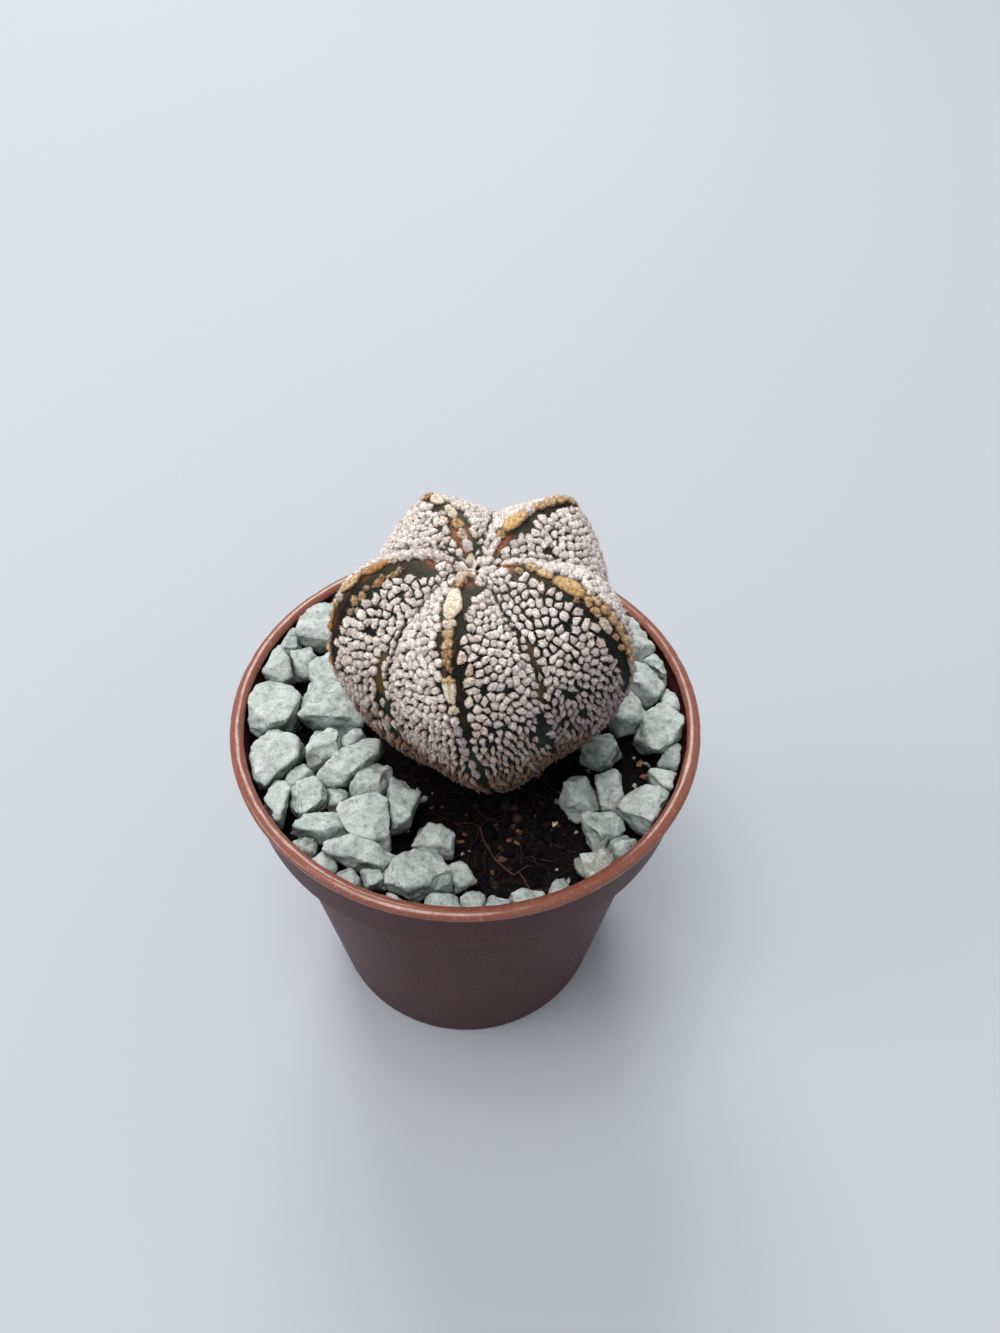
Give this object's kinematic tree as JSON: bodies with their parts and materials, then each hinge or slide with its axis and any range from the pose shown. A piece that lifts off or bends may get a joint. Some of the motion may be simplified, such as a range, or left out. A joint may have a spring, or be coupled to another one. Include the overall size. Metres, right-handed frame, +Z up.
{
  "type": "potted star cactus",
  "caption": "Globular star cactus with sharp ribs covered in woolly white flecks, standing in soil and crushed-stone mulch in a round tapered plastic nursery pot.",
  "frame": {"origin": "on the pot's axis, in the plane of the pot's foot", "axes": "+Z up; the picture was taken from the -Y side, looking down along +Y"},
  "size_m": [0.055, 0.055, 0.0754],
  "materials": {
    "plastic": "satin",
    "soil": "matte",
    "cactus": "matte",
    "stone": "matte"
  },
  "bodies": {
    "root": {"pot": "plastic", "soil": "soil", "cactus": "cactus", "stone_01": "stone", "stone_02": "stone", "stone_03": "stone", "stone_04": "stone", "stone_05": "stone", "stone_06": "stone", "stone_07": "stone", "stone_08": "stone", "stone_09": "stone", "stone_10": "stone", "stone_11": "stone", "stone_12": "stone", "stone_13": "stone", "stone_14": "stone", "stone_15": "stone", "stone_16": "stone", "stone_17": "stone", "stone_18": "stone", "stone_19": "stone", "stone_20": "stone", "stone_21": "stone", "stone_22": "stone", "stone_23": "stone", "stone_24": "stone", "stone_25": "stone", "stone_26": "stone", "stone_27": "stone", "stone_28": "stone", "stone_29": "stone", "stone_30": "stone", "stone_31": "stone", "stone_32": "stone", "stone_33": "stone", "stone_34": "stone", "stone_35": "stone", "stone_36": "stone", "stone_37": "stone", "stone_38": "stone", "stone_39": "stone", "stone_40": "stone", "stone_41": "stone", "stone_42": "stone", "stone_43": "stone", "stone_44": "stone", "stone_45": "stone", "stone_46": "stone", "stone_47": "stone", "stone_48": "stone", "stone_49": "stone", "stone_50": "stone", "stone_51": "stone", "stone_52": "stone", "stone_53": "stone", "stone_54": "stone", "stone_55": "stone", "stone_56": "stone", "stone_57": "stone"}
  },
  "joints": []
}
